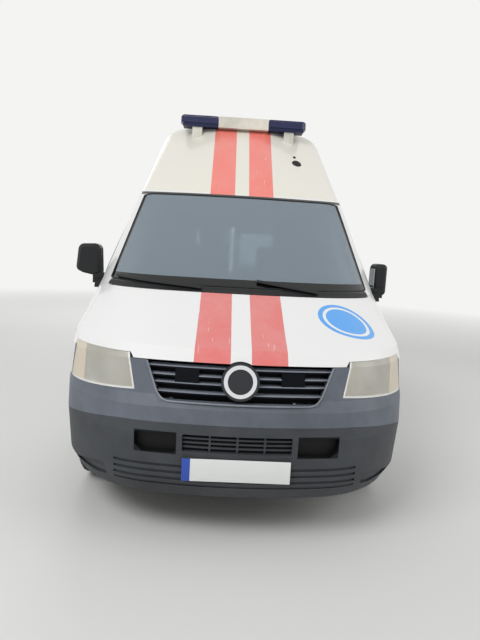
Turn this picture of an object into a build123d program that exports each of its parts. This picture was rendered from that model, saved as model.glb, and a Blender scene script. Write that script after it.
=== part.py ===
from build123d import *
from math import atan2, cos, degrees, hypot, radians, sin, sqrt
import os

# A long-wheelbase, high-roofed panel van fitted out as an ambulance.
# All lengths are millimetres. While it is being made, Y counts from the nose backwards, and at
# export everything moves so that the origin is on the ground, under the middle of the length.
# X is across with +X on the vehicle's left, -Y is forward, +Z is up.

# Driving sizes
overall_length = 5290
half_width = 952
wheelbase = 3400
front_overhang = 894
track = 1628
tyre_radius = 336.5
tyre_width = 205
rim_radius = 203
belt_height = 1205
gutter_height = 1848
crown_height = 2476
floor_top = 560
floor_thickness = 40
sill_bottom = 235

# Thicknesses and gaps
wall = 60
panel = 28
glass = 6
roof_wall = 32
bumper_wall = 40
flange = 18
shut_gap = 6
seat_gap = 0.3

# Front end heights
bumper_seam = 618
lamp_bottom = 750
lamp_top = 923
bonnet_edge = 903
bonnet_rear = 1196
cowl_top = 1222
scuttle_bottom = 1120

# Places along the length
front_axle = front_overhang
rear_axle = front_overhang + wheelbase
firewall = 905
bonnet_corner = 925
door_front = 1102
door_foot = 1332
door_rear = 2235
slider_front = 2285
slider_rear = 3320
bulkhead_front = 2250
rear_frame = 5180

# Heights and places of the openings
sill_top = 318
door_top = 1785
glass_bottom = 1232
glass_top = 1720
rear_door_bottom = 575
rear_door_edge = 765
arch_front = 385
arch_rear = 378
arch_front_inner = 478
arch_rear_inner = 668
arch_sheet = 22

# Outer form of the steel body: plan outlines at a few heights, joined by straight lines.
# Columns: height, front, half width, rear, nose arc radius, corner arc radius
body_levels = [
    (sill_bottom, 72, 905, 5226, 2660, 600),
    (330, 16, 938, 5240, 2660, 600),
    (560, 0, half_width, 5246, 2660, 600),
    (bumper_seam, 9, half_width, 5246, 2660, 600),
    (690, 18, half_width, 5245, 2660, 600),
    (742, 46, half_width, 5244, 2660, 600),
    (900, 81, 951, 5241, 2660, 600),
    (962, 140, 948, 5240, 2660, 600),
    (1042, 330, 943, 5238, 2660, 600),
    (belt_height, 668, 931, 5236, 2660, 600),
    (1850, 1478, 744, 5174, 2900, 90),
    (1960, 1616, 712, 5163, 2900, 90),
]
rear_corner = 88

# Outer form of the moulded high roof, same columns
roof_levels = [
    (1790, 1416, 752, 5180, 2750, 110),
    (2520, 2225, 630, 5085, 950, 150),
]
roof_base = gutter_height + seat_gap

# Outer form of the rear bumper, same columns
rear_bumper_levels = [
    (245, 72, 915, 5255, 2660, 600),
    (330, 16, 942, 5282, 2660, 600),
    (480, 0, 954, 5290, 2660, 600),
    (565, 0, 954, 5286, 2660, 600),
]


def outline(z, front, half, rear, nose_r, corner_r, rear_r):
    """Closed plan outline at height z: nose arc, corner arcs, sides, rear corners and rear."""
    corner_x = half - corner_r
    corner_y = front + nose_r - sqrt((nose_r - corner_r) ** 2 - corner_x ** 2)
    turn = atan2(corner_x, front + nose_r - corner_y)
    join = (corner_x + corner_r * sin(turn), corner_y - corner_r * cos(turn))
    middle = (turn + radians(90)) / 2
    bend = (corner_x + corner_r * sin(middle), corner_y - corner_r * cos(middle))
    back = rear - rear_r
    side = half - rear_r
    reach = rear_r * cos(radians(45))
    edges = [
        ThreePointArc((-join[0], join[1]), (0, front), join),
        ThreePointArc(join, bend, (half, corner_y)),
        Line((half, corner_y), (half, back)),
        ThreePointArc((half, back), (side + reach, back + reach), (side, rear)),
        Line((side, rear), (-side, rear)),
        ThreePointArc((-side, rear), (-side - reach, back + reach), (-half, back)),
        Line((-half, back), (-half, corner_y)),
        ThreePointArc((-half, corner_y), (-bend[0], bend[1]), (-join[0], join[1])),
    ]
    return Plane.XY.offset(z) * make_face(edges)


def form(levels, depth=0):
    """The lofted form, moved inwards by depth."""
    faces = []
    for z, front, half, rear, nose_r, corner_r in levels:
        face = outline(
            z - 0.7 * depth, front + depth, half - depth, rear - depth,
            nose_r - depth, max(corner_r - depth, 15), max(rear_corner - depth, 15),
        )
        faces.append(face)
    return loft(faces, ruled=True)


def slab(x0, x1, y0, y1, z0, z1):
    corner = (Align.MIN, Align.MIN, Align.MIN)
    return Pos(x0, y0, z0) * Box(x1 - x0, y1 - y0, z1 - z0, align=corner)


def drum(centre, direction, radius, length):
    """A cylinder that starts at centre and runs along direction."""
    plane = Plane(origin=centre, z_dir=direction)
    return plane * Cylinder(radius, length, align=(Align.CENTER, Align.CENTER, Align.MIN))


def shaped(points, radius, grow):
    """A face from points with rounded corners, grown all round."""
    face = make_face(FilletPolyline(*points, radius=radius, close=True))
    if grow:
        face = offset(face, grow, kind=Kind.ARC if radius else Kind.INTERSECTION)
    return face


def side_prism(points, x0, x1, radius=0, grow=0):
    """A prism across the vehicle. Points are (place along the length, height)."""
    return extrude(Plane.YZ.offset(x0) * shaped(points, radius, grow), amount=x1 - x0)


def front_prism(points, y0, y1, radius=0, grow=0):
    """A prism along the vehicle. Points are (across, height)."""
    return extrude(Plane.XZ.offset(-y0) * shaped(points, radius, grow), amount=y0 - y1)


def at_depth(depth):
    """The body form moved inwards by depth, made once for each depth."""
    if depth not in depths:
        depths[depth] = form(body_levels, depth)
    return depths[depth]


def carve(region, depth):
    """The cut that a region makes from outside down to a depth."""
    return region - at_depth(depth)


def layer(region, depth, top=0):
    """The layer of the body form inside the region, between two depths."""
    return (region & at_depth(top)) - at_depth(depth)


def mirrored(shape):
    return mirror(shape, about=Plane.YZ)


def both_sides(shape):
    return shape + mirrored(shape)


def pair(shape):
    """One node that holds a left and a right solid."""
    return Compound(children=[shape, mirrored(shape)])


def largest(shape):
    return max(shape.solids(), key=lambda solid: solid.volume)


depths = {}
pieces = {}

# Side-view outlines: (place along the length, height)
door_line = [
    (door_foot, sill_top), (door_foot, 500), (1240, 705), (door_front, 815), (door_front, 1180),
    (1592, door_top), (door_rear, door_top), (door_rear, sill_top),
]
slider_line = [
    (slider_front, sill_top), (slider_front, door_top),
    (slider_rear, door_top), (slider_rear, sill_top),
]
door_window = [(1190, glass_bottom), (1602, glass_top), (2170, glass_top), (2170, glass_bottom)]
slider_window = [
    (slider_front + 85, glass_bottom), (slider_front + 85, glass_top),
    (slider_rear - 85, glass_top), (slider_rear - 85, glass_bottom),
]
window_corner = 45
bonnet_line = [
    (-60, lamp_top), (452, lamp_top + 4), (bonnet_corner - shut_gap, 1159),
    (bonnet_corner - shut_gap, 1500), (-60, 1500),
]
wing_line = [
    (449, lamp_bottom - 14), (600, 718), (860, 700), (1400, 300), (1400, 1184),
    (bonnet_corner, 1184), (bonnet_corner, 1156), (449, lamp_top - 2),
]
seam_line = [(-60, bumper_seam), (80, bumper_seam), (480, 545), (800, 487)]
grille_panel_line = [(place, height + seat_gap) for place, height in seam_line] + [
    (800, 698), (600, 713), (448, lamp_bottom - 19), (440, 900), (-60, 900),
]
bumper_line = seam_line + [(800, 200), (-60, 200)]

# Front-view outlines on the vehicle's left: (across, height)
lamp_line = [(508, 757), (546, lamp_top - 0.5), (868, lamp_top + 3), (900, 733)]
grille_line = [(-455, 897), (-384, 718), (384, 718), (455, 897), (455, 960), (-455, 960)]
screen_line = [
    (-800, cowl_top + 4), (800, cowl_top + 4), (822, cowl_top + 14), (708, 1806),
    (640, 1822), (-640, 1822), (-708, 1806), (-822, cowl_top + 14),
]
rear_door_line = [
    (5, rear_door_bottom), (rear_door_edge, rear_door_bottom), (rear_door_edge, 1150),
    (655, door_top), (5, door_top),
]
rear_window = [(95, glass_bottom), (655, glass_bottom), (585, glass_top - 15), (95, glass_top - 15)]

# Front doors. Seen from above, each rear edge slants so that the door swings clear of its post.
door_slant = 0.16
door_inner_x = 560
door_outer_x = 1100


def door_prism(grow=0):
    faces = []
    for x in (door_inner_x, door_outer_x):
        shift = door_slant * (x - half_width)
        points = [(place + shift if place == door_rear else place, z) for place, z in door_line]
        faces.append(Plane.YZ.offset(x) * shaped(points, 0, grow))
    return loft(faces, ruled=True)


# Rear doors. Seen from above, the meeting edges slant for the same reason.
rear_door_slant = 0.13
rear_door_reach = 240


def rear_door_prism(grow=0):
    faces = []
    for y, shift in ((overall_length, 0), (overall_length - rear_door_reach, rear_door_slant)):
        inner = 5 + shift * rear_door_reach
        points = [(inner if across == 5 else across, z) for across, z in rear_door_line]
        faces.append(Plane.XZ.offset(-y) * shaped(points, 0, grow))
    return loft(faces, ruled=True)


def wheel_void(axle, inner, radius, outer=1200):
    """Both wheel arches of one axle, as cylinders open to the side."""
    return both_sides(drum((inner, axle, tyre_radius), (1, 0, 0), radius, outer - inner))


front_void = wheel_void(front_axle, arch_front_inner, arch_front)
rear_void = wheel_void(rear_axle, arch_rear_inner, arch_rear)
door_opening = door_prism(shut_gap)
rear_opening = rear_door_prism(shut_gap)

# Bonnet, which covers the whole width above the lamps and wings
bonnet_lip = [(-524, bonnet_edge), (524, bonnet_edge), (542, lamp_top + 2), (-542, lamp_top + 2)]
bonnet_region = side_prism(bonnet_line, -1100, 1100) + front_prism(bonnet_lip, -60, 400)
bonnet_region = bonnet_region & slab(-1100, 1100, -60, 1000, 0, bonnet_rear)
badge_height = 820
badge_radius = 92
badge_aim = (0, -1, 0.22)
badge_back = (0, 92, badge_height - 4)
bonnet_region -= drum((0, 200, badge_height - 28), badge_aim, badge_radius + shut_gap, 300)

# The bonnet's rear edge is cut upright, just ahead of the cowl, so that it can rise freely
rear_edge_front = 649 - shut_gap
rear_edge_half = 932 + shut_gap
rear_edge = outline(1100, rear_edge_front, rear_edge_half, 5237, 2666, 606, rear_corner)
bonnet_region -= extrude(rear_edge, amount=120)
pieces["bonnet"] = largest(layer(bonnet_region, panel))

# Wings, from the lamp to the front door, over the wheel arch
wing_region = side_prism(wing_line, 500, 1100) - door_opening
wing = largest(layer(wing_region, panel) - front_void)
pieces["front_wings"] = pair(wing)

# Head lamps: a clear lens, and a housing with a round bowl behind it
lamp_reach = 449
lamp_depth = 115
lamp_zone = front_prism(lamp_line, -60, lamp_reach)
lens = largest(layer(lamp_zone, glass))
housing_top = glass + seat_gap
housing = (front_prism(lamp_line, -60, lamp_reach - 4, grow=-3) & at_depth(housing_top))
housing = housing - at_depth(lamp_depth)
bowl = Plane(origin=(660, 240, 842), z_dir=(0.12, -1, 0)) * Sphere(96)
housing = largest(housing - (bowl & slab(0, 900, 0, 300, 700, 1000)))
pieces["headlamp_lenses"] = pair(lens)
pieces["headlamp_housings"] = pair(housing)

# Grille panel: the upper part of the bumper, round the grille and under the lamps
lamp_clear = both_sides(front_prism(lamp_line, -60, 470, grow=seat_gap))
grille_panel = layer(side_prism(grille_panel_line, -1100, 1100), panel)
grille_panel = grille_panel - lamp_clear - front_prism(grille_line, -60, 300) - front_void
pieces["grille_panel"] = largest(grille_panel)

# Grille: four slats in front of a dark backing, with two lamp blocks between them
slat_heights = (753, 796, 832, 872)
slat_height = 11
grille_depth = 52
grille_zone = front_prism(grille_line, -60, 300, grow=-seat_gap) & slab(-600, 600, -60, 300, 700, 901)
grille = layer(grille_zone, grille_depth, grille_depth - 6)
for height in slat_heights:
    slat_zone = grille_zone & slab(-600, 600, -60, 300, height - slat_height / 2, height + slat_height / 2)
    grille += layer(slat_zone, grille_depth - 5, 11)
for side in (-1, 1):
    block = grille_zone & slab(min(side * 200, side * 315), max(side * 200, side * 315), -60, 300, 802, 866)
    grille += layer(block, grille_depth - 5, 11)

# Plain round badge in the middle of the grille
badge_face = (0, 57, badge_height + 3.7)
badge = drum(badge_back, badge_aim, badge_radius, 40)
badge -= drum(badge_face, badge_aim, 80, 20) - drum(badge_face, badge_aim, 68, 20)
badge -= drum(badge_face, badge_aim, 60, 20)
grille -= drum((0, 92 + seat_gap, badge_height - 4), badge_aim, badge_radius + seat_gap, 90)
pieces["grille"] = largest(grille)
pieces["grille_badge"] = largest(badge)

# Lower bumper with its intakes, ribs, fog-lamp blanks and plate seat
bumper = layer(side_prism(bumper_line, -1100, 1100), bumper_wall) - front_void
centre_intake = [(-264, 484), (264, 484), (264, 570), (-264, 570)]
side_intake = [(293, 474), (455, 468), (495, 500), (495, 568), (293, 574)]
fog_blank = [(640, 300), (700, 290), (840, 312), (835, 330), (690, 366), (650, 360)]
bumper -= front_prism(centre_intake, -60, 200, radius=8)
bumper -= both_sides(carve(front_prism(side_intake, -60, 200, radius=12), 36))
bumper -= both_sides(carve(front_prism(fog_blank, -60, 420, radius=8), 24))
rib_heights = (300, 333, 366, 399)
for height in rib_heights:
    bumper -= carve(slab(-600, 600, -60, 300, height, height + 14), 9)
plate_half = 261
plate_low = 346
plate_high = 457
plate_front = 3
bumper += slab(-plate_half, plate_half, plate_front, 34, plate_low, plate_high)
intake_bars = slab(-5, 5, -60, 200, 483, 571)
for height in (505, 527, 549):
    intake_bars += slab(-265, 265, -60, 200, height - 4, height + 4)
for across in (-132, 132):
    intake_bars += slab(across - 5, across + 5, -60, 200, 483, 571)
bumper += layer(intake_bars, 32, 14)
pieces["front_bumper"] = largest(bumper)

# Cowl below the windscreen
cowl_side = 826
cowl_zone = slab(-cowl_side, cowl_side, -60, 960, bonnet_rear, cowl_top)
pieces["cowl"] = largest(layer(cowl_zone, panel))

# Windscreen
screen_zone = front_prism(screen_line, -60, 1700)
pieces["windscreen"] = largest(layer(screen_zone, glass))

# Windscreen wipers: pivot boss in the cowl, arm and blade above the glass
# Columns: pivot across, pivot height, tip across, tip height
wiper_table = [(-240, 1222, -770, 1254), (455, 1222, 95, 1270)]
wipers = []
for pivot_x, pivot_z, tip_x, tip_z in wiper_table:
    run_x = tip_x - pivot_x
    run_z = tip_z - pivot_z
    length = hypot(run_x, run_z)
    across_x = -run_z / length * 7
    across_z = run_x / length * 7
    strip = [
        (pivot_x + across_x, pivot_z + across_z), (tip_x + across_x, tip_z + across_z),
        (tip_x - across_x, tip_z - across_z), (pivot_x - across_x, pivot_z - across_z),
    ]
    zone = front_prism(strip, 500, 1100)
    arm = layer(zone, -2, -12)
    boss = drum((pivot_x, 400, pivot_z), (0, 1, 0), 9, 600)
    arm += layer(boss & slab(-900, 900, 500, 1100, 1100, 1300), 0, -12)
    wipers.append(largest(arm))
pieces["wipers"] = Compound(children=wipers)

# Steel body: outer form less the cab and load space, nose, openings and wheel arches
inner = at_depth(wall)
body = at_depth(0) & slab(-1100, 1100, -60, 5300, sill_bottom, gutter_height)
cab_air = slab(-1000, 1000, firewall, 5300, floor_top, 1780)
screen_air = slab(-1000, 1000, 400, 1800, cowl_top + 2, 1780)
body -= inner & (cab_air + screen_air)
body -= slab(-640, 640, 1620, 5060, 1700, 1900)
body -= slab(-850, 850, 800, rear_frame, 200, floor_top - floor_thickness)

# The nose is made of separate panels, over a scuttle, a carrier beam and two rails
scuttle = at_depth(panel + seat_gap) & slab(-905, 905, -60, 960, scuttle_bottom, cowl_top + 3)
foot_side = 884
foot_rear = 5194
foot_front = 4958
nose_rear = firewall - 5
nose_line = [
    (-100, 100), (nose_rear, 100), (nose_rear, 1140), (bonnet_corner + shut_gap, 1140),
    (bonnet_corner + shut_gap, bonnet_rear + 3), (-100, bonnet_rear + 3),
]
body -= side_prism(nose_line, -1100, 1100)
body -= carve(cowl_zone, panel + seat_gap)
body -= both_sides(carve(wing_region, panel + seat_gap))
body += scuttle
body += at_depth(panel + seat_gap) & slab(-900, 900, 860, nose_rear + 2, 500, scuttle_bottom + 2)
rail_inner = 430
rail_outer = 478
rail_low = 430
rail_high = floor_top - floor_thickness - seat_gap
underframe = layer(slab(-760, 760, -60, 600, 440, 600), 95, bumper_wall + seat_gap)
underframe += both_sides(slab(rail_inner, rail_outer, 112, foot_rear - 10, rail_low, rail_high))
underframe += layer(slab(-500, 500, -60, 600, 850, 899), 100, grille_depth + seat_gap)
underframe += both_sides(slab(440, 478, 165, 215, 500, 860))
for place in (1700, 3120, 4950):
    underframe += slab(-rail_inner - 5, rail_inner + 5, place, place + 60, rail_high - 50, rail_high)
pieces["underframe"] = largest(underframe)

# Inner wheel arches and strut towers
floor_low = floor_top - floor_thickness
rails = both_sides(slab(rail_inner - seat_gap, rail_outer + seat_gap, 100, 5300, 400, floor_low))
front_sheet = wheel_void(front_axle, arch_front_inner - arch_sheet, arch_front + arch_sheet, 915)
rear_sheet = wheel_void(rear_axle, arch_rear_inner - arch_sheet, arch_rear + arch_sheet, 905)
body += front_sheet & at_depth(panel + seat_gap) & slab(-1100, 1100, 470, 1400, 560, 900)
body += front_sheet & at_depth(bumper_wall + seat_gap) & slab(-1100, 1100, 470, 1400, rail_low, 561)
body += rear_sheet & slab(-1100, 1100, 3800, 4800, floor_low, 900)

# Kingpin line: from the lower ball joint to the strut's top mount
ball_joint = (735, front_axle, 186)
strut_top = (622, front_axle, 890)
kingpin = tuple(high - low for high, low in zip(strut_top, ball_joint))
strut_pin = 10
joint_pin = 12
pin_gap = 0.05
tower_x = 638
tower_radius = 97
tower_top = 930
tower_zone = drum((tower_x, front_axle, 640), (0, 0, 1), tower_radius, tower_top - 640)
body += both_sides(tower_zone)
body -= front_void
body -= rear_void
body -= rails
body -= both_sides(drum((tower_x, front_axle, 500), (0, 0, 1), tower_radius - 14, 385))
body -= both_sides(drum(ball_joint, kingpin, strut_pin + pin_gap, 900))

# Door, window and lamp openings, with seal flanges for the doors to close on
front_flange = door_prism(shut_gap) - door_prism(-26)
slider_prism = side_prism(slider_line, -1100, -560, grow=shut_gap)
slider_flange = slider_prism - side_prism(slider_line, -1100, -560, grow=-26)
rear_frame_line = [
    (-rear_door_edge - 7, rear_door_bottom - 7), (rear_door_edge + 7, rear_door_bottom - 7),
    (rear_door_edge + 7, 1152), (662, door_top + 7), (-662, door_top + 7), (-rear_door_edge - 7, 1152),
]
rear_flange = front_prism(rear_frame_line, 5000, 5300) - front_prism(rear_frame_line, 5000, 5300, grow=-33)
body -= both_sides(door_opening) & slab(-1100, 1100, 0, 5300, 300, 1900)
body -= slider_prism
body -= front_prism(rear_frame_line, 5090, 5300)
body -= front_prism(screen_line, -60, 1560, grow=seat_gap)
body -= side_prism(slider_window, 560, 1100, radius=window_corner, grow=seat_gap)
flange_top = wall + seat_gap
above_floor = slab(-1100, 1100, 900, 3400, floor_top - 30, 1800)
body += both_sides(layer(front_flange & above_floor, wall + flange, flange_top))
body += layer(slider_flange & above_floor, wall + flange, flange_top)
body += layer(rear_flange, wall + flange, flange_top)
hinge_corner = door_opening & slab(700, 1000, 1090, 1170, 1090, 1250)
body -= both_sides(carve(hinge_corner, wall + 8))

# Tail lamps sit in the rear corners, and the rear bumper wraps round the body's foot
tail_lamp_low = 705
tail_lamp_high = 1175
tail_zone = slab(806, 1000, 5090, 5400, tail_lamp_low, tail_lamp_high)
tail_cut = slab(805.7, 1000, 5089.7, 5400, tail_lamp_low - seat_gap, tail_lamp_high + seat_gap)
pieces["tail_lamps"] = pair(largest(layer(tail_zone, bumper_wall)))
body -= both_sides(carve(tail_cut, bumper_wall + seat_gap))
foot = slab(-1100, 1100, foot_front - 3, 5400, 200, 566)
body -= foot - slab(-foot_side, foot_side, foot_front - 10, foot_rear, 100, 600)
bumper_hollow = form(rear_bumper_levels, 36) & slab(-1100, 1100, 0, 5300, 0, 540)
rear_bumper = form(rear_bumper_levels) - bumper_hollow
rear_bumper &= slab(-1100, 1100, foot_front, 5400, 200, 565.5)
rear_bumper -= slab(-foot_side - seat_gap, foot_side + seat_gap, 4900, foot_rear + seat_gap, 0, 700)
pieces["rear_bumper"] = largest(rear_bumper)

# Sliding-door rail groove on the vehicle's right
body -= carve(slab(-1100, -700, slider_rear + 30, 4460, 1002, 1030), 14)
floor_zone = at_depth(wall) & slab(-1000, 1000, nose_rear + 10, 5300, 400, floor_top)
pieces["floor_pan"] = largest(body & floor_zone)
body -= at_depth(wall - seat_gap) & slab(-1000, 1000, nose_rear + 10 - seat_gap, 5300, 400, floor_top + seat_gap)
pieces["body_shell"] = largest(body)

# Front doors with windows, and a handle bar on each
door = layer(door_prism(), wall)
door -= side_prism(door_window, 500, 1100, radius=window_corner, grow=seat_gap)
handle_low = 1030
handle = slab(700, 1100, door_rear - 180, door_rear - 40, handle_low, handle_low + 34)
grip_gap = slab(700, 1100, door_rear - 165, door_rear - 55, handle_low - 5, handle_low + 40)
door += layer(handle, 3, -22) - layer(grip_gap, 0, -12)
front_door = largest(door)
door_pane = largest(layer(side_prism(door_window, 500, 1100, radius=window_corner), glass))
pieces["front_door_left"] = front_door
pieces["front_door_right"] = mirrored(front_door)
pieces["front_door_left_glass"] = door_pane
pieces["front_door_right_glass"] = mirrored(door_pane)

# Sliding door on the vehicle's right, and the window opposite
slider_zone = side_prism(slider_line, -1100, -560)
slider_cut = side_prism(slider_window, -1100, -500, radius=window_corner, grow=seat_gap)
slider_handle = slab(-1100, -700, slider_front + 40, slider_front + 180, handle_low, handle_low + 34)
slider_grip = slab(-1100, -700, slider_front + 55, slider_front + 165, handle_low - 5, handle_low + 40)
sliding_door = layer(slider_zone, wall) + layer(slider_handle, 3, -22) - layer(slider_grip, 0, -12)
pieces["sliding_door"] = largest(sliding_door - slider_cut)
pane = largest(layer(side_prism(slider_window, 560, 1100, radius=window_corner), glass))
pieces["side_windows"] = pair(pane)

# Rear doors
rear_door = layer(rear_door_prism(), wall)
rear_door -= front_prism(rear_window, 5000, 5300, radius=window_corner, grow=seat_gap)
rear_handle = layer(slab(30, 64, 5000, 5400, 1010, 1150), 3, -20)
rear_door += rear_handle - layer(slab(25, 70, 5000, 5400, 1025, 1135), 0, -11)
rear_door = largest(rear_door)
rear_pane = largest(layer(front_prism(rear_window, 5000, 5300, radius=window_corner), glass))
pieces["rear_door_left"] = rear_door
pieces["rear_door_right"] = mirrored(rear_door)
pieces["rear_door_left_glass"] = rear_pane
pieces["rear_door_right_glass"] = mirrored(rear_pane)

# High roof: lofted form trimmed by its side profile and its cross profile
crest_start = 2176
crest_radius = 230
roof_rear_radius = 170
shoulder_radius = 170
crown_radius = 2200


def roof_form(depth):
    slope_foot = 1478 + (1500 - 1850) * 1.109 - 4
    profile = [
        (slope_foot, 1500), (crest_start, 2462 - depth), (3400, crown_height - depth),
        (5092 - depth, 2452 - depth), (5250 - depth, 1500),
    ]
    radii = [0, crest_radius, 4000, roof_rear_radius, 0]
    side = Plane.YZ.offset(-1100) * make_face(FilletPolyline(*profile, radius=radii, close=True))
    cross = [
        (-800 + depth, 1500), (-641 + depth, 2436 - depth), (0, crown_height + 1 - depth),
        (641 - depth, 2436 - depth), (800 - depth, 1500),
    ]
    radii = [0, shoulder_radius, crown_radius, shoulder_radius, 0]
    across = Plane.XZ * make_face(FilletPolyline(*cross, radius=radii, close=True))
    shape = form(roof_levels, depth) & extrude(side, amount=2200)
    return shape & extrude(across, amount=-5400)


roof_outer = roof_form(0)
roof_inner = roof_form(roof_wall) & slab(-1100, 1100, 0, 5400, 1600, 2600)
roof = (roof_outer & slab(-1100, 1100, 0, 5400, roof_base, 2600)) - roof_inner
pieces["high_roof"] = largest(roof)
aerial = drum((431, 1880, 2120), (0, -0.67, 0.74), 32, 62) - roof_form(-seat_gap)
stud = drum((396, 1903, 2160), (0, -0.67, 0.74), 10, 50) - roof_form(-seat_gap)
pieces["roof_aerial"] = Compound(children=[largest(aerial), largest(stud)])

# Light bar on two feet across the front of the roof
bar_half = 518
sign_half = 206
bar_front = 2085
bar_rear = 2215
bar_low = 2438
bar_high = 2528
bar_body = slab(-bar_half + 20, bar_half - 20, bar_front + 6, bar_rear - 6, bar_low, bar_low + 26)
bar_body += slab(-sign_half, sign_half, bar_front, bar_rear, bar_low, bar_high - 4)
for side in (-1, 1):
    bar_body += slab(side * 380 - 40, side * 380 + 40, bar_front + 20, bar_rear - 20, 2300, bar_low + 5)
bar_body -= roof_form(-seat_gap)
pieces["light_bar"] = largest(bar_body)
dome = slab(sign_half + seat_gap, bar_half, bar_front, bar_rear, bar_low + 26 + seat_gap, bar_high)
dome = fillet(dome.edges().filter_by(Axis.Z).group_by(Axis.X)[-1], 40)
dome = fillet(dome.faces().sort_by(Axis.Z)[-1].edges(), 18)
pieces["light_bar_domes"] = pair(largest(dome))

# Bulkhead behind the seats
bulkhead_zone = slab(-1000, 1000, bulkhead_front, bulkhead_front + 22, floor_top + seat_gap, 1779)
bulkhead = at_depth(wall + flange + 1) & bulkhead_zone
bulkhead -= slab(-360, 360, 2200, 2300, 1250, 1640)
pieces["bulkhead"] = largest(bulkhead)

# Dashboard with the steering column
dash_front = firewall + seat_gap
dash_under = scuttle_bottom - seat_gap
dash_line = [
    (dash_front, 760), (1030, 760), (1130, 800), (1196, 950), (1190, 1090),
    (1130, 1168), (962, 1176), (962, dash_under), (dash_front, dash_under),
]
dash = side_prism(dash_line, -900, 900) & at_depth(wall + flange + 1)
wheel_centre = (400, 1392, 1130)
column = (0, cos(radians(35)), sin(radians(35)))
shaft_radius = 11
column_start = tuple(place - 320 * step for place, step in zip(wheel_centre, column))
dash += drum(column_start, column, 36, 262)
binnacle = side_prism([(1020, 1150), (1190, 1080), (1204, 1150), (1120, 1238), (1040, 1232)], 230, 570)
dash += binnacle
dash -= drum(column_start, column, shaft_radius + pin_gap, 300)
dash -= wheel_void(front_axle, arch_front_inner - arch_sheet - 1, arch_front + arch_sheet + 1)
dash -= both_sides(drum((tower_x, front_axle, 600), (0, 0, 1), tower_radius + 1, tower_top + 1 - 600))
pieces["dashboard"] = largest(dash)

# Steering wheel: rim, hub and three spokes
rim_ring = 190
wheel_plane = Plane(origin=wheel_centre, x_dir=(1, 0, 0), z_dir=column)
steering = wheel_plane * Torus(rim_ring, 15)
steering += wheel_plane * Pos(0, 0, -28) * Cylinder(58, 46)
steering += wheel_plane * Pos(0, 0, -75) * Cylinder(shaft_radius, 60)
for turn in (0, 180, 270):
    spoke = Rot(0, 0, turn) * slab(30, rim_ring, -20, 20, -22, -8)
    steering += wheel_plane * spoke
pieces["steering_wheel"] = largest(steering)

# Seats: one for the driver, a double one beside it
# Columns: left edge, right edge, head rests
seat_line = [
    (1660, floor_top + seat_gap), (2060, floor_top + seat_gap), (2060, 820), (2160, 880),
    (2238, 1470), (2160, 1490), (2050, 960), (1590, 985), (1570, 850), (1660, 820),
]
seat_radii = [10, 10, 10, 40, 30, 30, 30, 40, 40, 10]
seats = []
for left, right, rests in ((150, 670, (410,)), (-735, -40, (-540, -225))):
    seat = side_prism(seat_line, left, right, radius=seat_radii)
    for across in rests:
        seat += slab(across - 105, across + 105, 2165, 2236, 1480, 1680)
    seats.append(largest(seat))
pieces["seats"] = Compound(children=seats)

# Mirrors: a foot on the door's front corner, an arm and a housing
mirror_low = 1216
mirror_high = 1442
foot_zone = side_prism([(1150, 1150), (1265, 1150), (1265, 1222), (1150, 1200)], 700, 1100)
mirror_foot = layer(foot_zone, 0, -30)
mirror_line = [
    (935, mirror_low), (1060, mirror_low + 24), (1106, 1262), (1088, mirror_high - 8),
    (944, mirror_high),
]
spread = front_prism(mirror_line, 1192, 1290, radius=[30, 24, 34, 42, 42])
spread = chamfer(spread.faces().sort_by(Axis.Y)[0].edges(), 22)
arm = slab(890, 990, 1200, 1250, mirror_low - 40, mirror_low + 30) - at_depth(-3)
open_mirror = mirrored(largest(mirror_foot + arm + spread))
folded = fillet(slab(950, 1036, 1230, 1400, 1186, 1404).edges(), 30)
folded_arm = slab(890, 1000, 1200, 1260, mirror_low - 45, mirror_low + 20) - at_depth(-3)
pieces["mirror_right"] = open_mirror
pieces["mirror_left"] = largest(mirror_foot + folded_arm + folded)

# Front running gear: subframe with lower arms, and knuckles that turn on the kingpin line
subframe = slab(-rail_outer, rail_outer, 780, 1040, 220, 290)
subframe += both_sides(slab(rail_inner, rail_outer, 820, 1000, 250, rail_low - seat_gap))
arm_line = [
    (440, 790), (700, 866), (742, 860), (772, 894), (742, 930), (700, 924), (440, 1030),
]
lower_arm = extrude(Plane.XY.offset(226) * make_face(Polyline(*arm_line, close=True)), amount=30)
subframe += both_sides(lower_arm)
hub_x = track / 2
knuckle_axis = Plane(origin=ball_joint, z_dir=kingpin)
kingpin_length = hypot(kingpin[0], kingpin[2])


def rod(start, radius, length):
    """A cylinder along the left kingpin line. Start counts upwards from the ball joint."""
    upright = (Align.CENTER, Align.CENTER, Align.MIN)
    return knuckle_axis * Pos(0, 0, start) * Cylinder(radius, length, align=upright)


socket = drum(ball_joint, kingpin, 30, 36)
subframe += both_sides(socket)
subframe -= both_sides(drum(ball_joint, kingpin, joint_pin + pin_gap, 60))
subframe -= both_sides(rod(36, 60, 40))
pieces["front_subframe"] = largest(subframe)

# Columns: start along the kingpin line, radius, length. Joint pin, boss, strut, spring seats, top pin
strut_table = [
    (0, joint_pin, 60), (36 + seat_gap, 25, 80), (110, 26, kingpin_length - 130), (515, 64, 12),
    (kingpin_length - 32, 56, 12), (kingpin_length - 60, strut_pin, 90),
]
carrier = drum((688, front_axle, tyre_radius), (1, 0, 0), 46, 78)
for start, radius, length in strut_table:
    carrier += rod(start, radius, length)
carrier += slab(690, 760, front_axle + 60, front_axle + 180, 310, 345)
caliper = drum((762, front_axle, tyre_radius), (1, 0, 0), 182, 84)
caliper &= slab(700, 900, front_axle + 105, front_axle + 200, 260, 430)
disc_gap = drum((784, front_axle, tyre_radius), (1, 0, 0), 162, 38)
carrier += caliper - disc_gap
carrier += slab(730, 766, front_axle + 30, front_axle + 130, 290, 380)
carrier -= drum((600, front_axle, tyre_radius), (1, 0, 0), 20.4, 300)
pieces["knuckle_left"] = largest(carrier)
pieces["knuckle_right"] = mirrored(largest(carrier))

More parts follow.
